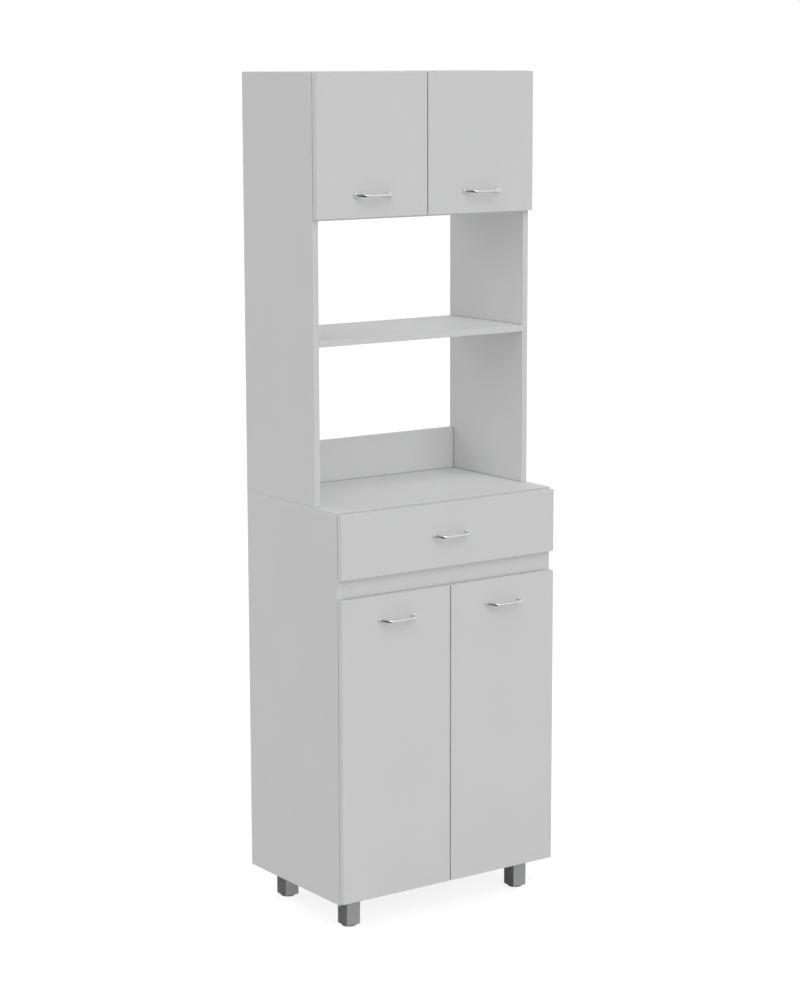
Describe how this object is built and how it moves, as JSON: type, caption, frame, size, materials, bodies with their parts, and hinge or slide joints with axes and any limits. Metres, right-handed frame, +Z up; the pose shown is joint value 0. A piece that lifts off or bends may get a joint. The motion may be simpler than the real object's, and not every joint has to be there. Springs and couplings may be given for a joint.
{
  "type": "kitchen pantry cabinet",
  "caption": "Tall kitchen pantry on square feet: doors and a drawer under a counter, an open bay with a shelf above it, and a cabinet with doors at the top.",
  "frame": {"origin": "on the floor, at the middle of the footprint of everything down to the handles", "axes": "+Z up, the doors and the drawer face -Y, +X to the right as seen from the front"},
  "size_m": [0.6, 0.4188, 1.935],
  "materials": {
    "carcass_board": "white melamine-faced particle board",
    "counter_board": "white melamine-faced particle board",
    "front_board": "white melamine-faced particle board with a soft edge band",
    "drawer_board": "white melamine-faced particle board",
    "back_board": "white lacquered hardboard",
    "handle_chrome": "bright chrome plate",
    "foot_plastic": "moulded grey plastic",
    "glide_plastic": "moulded dark grey plastic",
    "hinge_steel": "nickel-plated pressed steel",
    "fitting_steel": "zinc-plated steel",
    "cam_zinc": "die-cast zinc",
    "dowel_wood": "bare beech",
    "runner_coating": "white coated steel sheet",
    "roller_plastic": "moulded nylon"
  },
  "bodies": {
    "cabinet": {"base_left_side": "carcass_board", "base_right_side": "carcass_board", "base_bottom": "carcass_board", "counter_top": "counter_board", "front_rail": "carcass_board", "base_back_panel": "back_board", "base_shelf": "carcass_board", "shelf_pins": "fitting_steel", "hutch_left_side": "carcass_board", "hutch_right_side": "carcass_board", "hutch_top": "carcass_board", "upper_cabinet_bottom": "carcass_board", "open_shelf": "carcass_board", "backsplash_rail": "carcass_board", "upper_back_panel": "back_board", "hutch_dowels": "dowel_wood", "cabinet_left_runner": "runner_coating", "cabinet_right_runner": "runner_coating", "hinge_arms": "hinge_steel", "hinge_plates": "hinge_steel", "front_left_foot": "foot_plastic", "front_right_foot": "foot_plastic", "back_left_foot": "foot_plastic", "back_right_foot": "foot_plastic", "foot_glides": "glide_plastic", "foot_bolts": "fitting_steel", "cam_locks": "cam_zinc", "cam_bolts": "fitting_steel"},
    "upper_left_door": {"upper_left_door": "front_board", "upper_left_handle": "handle_chrome", "upper_left_hinge_cups": "hinge_steel"},
    "upper_right_door": {"upper_right_door": "front_board", "upper_right_handle": "handle_chrome", "upper_right_hinge_cups": "hinge_steel"},
    "base_left_door": {"base_left_door": "front_board", "base_left_handle": "handle_chrome", "base_left_hinge_cups": "hinge_steel"},
    "base_right_door": {"base_right_door": "front_board", "base_right_handle": "handle_chrome", "base_right_hinge_cups": "hinge_steel"},
    "drawer": {"drawer_front": "front_board", "drawer_left_side": "drawer_board", "drawer_right_side": "drawer_board", "drawer_back": "drawer_board", "drawer_bottom": "back_board", "drawer_left_runner": "runner_coating", "drawer_right_runner": "runner_coating", "drawer_handle": "handle_chrome", "drawer_cam_fittings": "cam_zinc"},
    "cabinet_rollers": {"cabinet_rollers": "roller_plastic"},
    "drawer_rollers": {"drawer_rollers": "roller_plastic"}
  },
  "joints": [
    {"name": "upper_left_door_hinge", "type": "hinge", "parent": "cabinet", "child": "upper_left_door", "pos_m": [-0.2931, -0.08828, 1.775], "axis": [0, 0, -1], "range_deg": [0, 95]},
    {"name": "upper_right_door_hinge", "type": "hinge", "parent": "cabinet", "child": "upper_right_door", "pos_m": [0.2931, -0.08828, 1.775], "axis": [0, 0, 1], "range_deg": [0, 95]},
    {"name": "base_left_door_hinge", "type": "hinge", "parent": "cabinet", "child": "base_left_door", "pos_m": [-0.2931, -0.17627, 0.427], "axis": [0, 0, -1], "range_deg": [0, 95]},
    {"name": "base_right_door_hinge", "type": "hinge", "parent": "cabinet", "child": "base_right_door", "pos_m": [0.2931, -0.17627, 0.427], "axis": [0, 0, 1], "range_deg": [0, 95]},
    {"name": "drawer_slide", "type": "slide", "parent": "cabinet", "child": "drawer", "axis": [0, -1, 0], "range_m": [0, 0.26]},
    {"name": "cabinet_roller_spin", "type": "hinge", "parent": "cabinet", "child": "cabinet_rollers", "pos_m": [0, -0.14858, 0.8559], "axis": [1, 0, 0], "range_deg": [0, 1495]},
    {"name": "drawer_roller_spin", "type": "hinge", "parent": "drawer", "child": "drawer_rollers", "pos_m": [0, 0.17042, 0.8561], "axis": [1, 0, 0], "range_deg": [0, 1360]}
  ],
  "couplings": [
    {"joint": "cabinet_roller_spin", "follows": "drawer_slide", "rad_per_m": 100},
    {"joint": "drawer_roller_spin", "follows": "drawer_slide", "rad_per_m": 90.909}
  ]
}
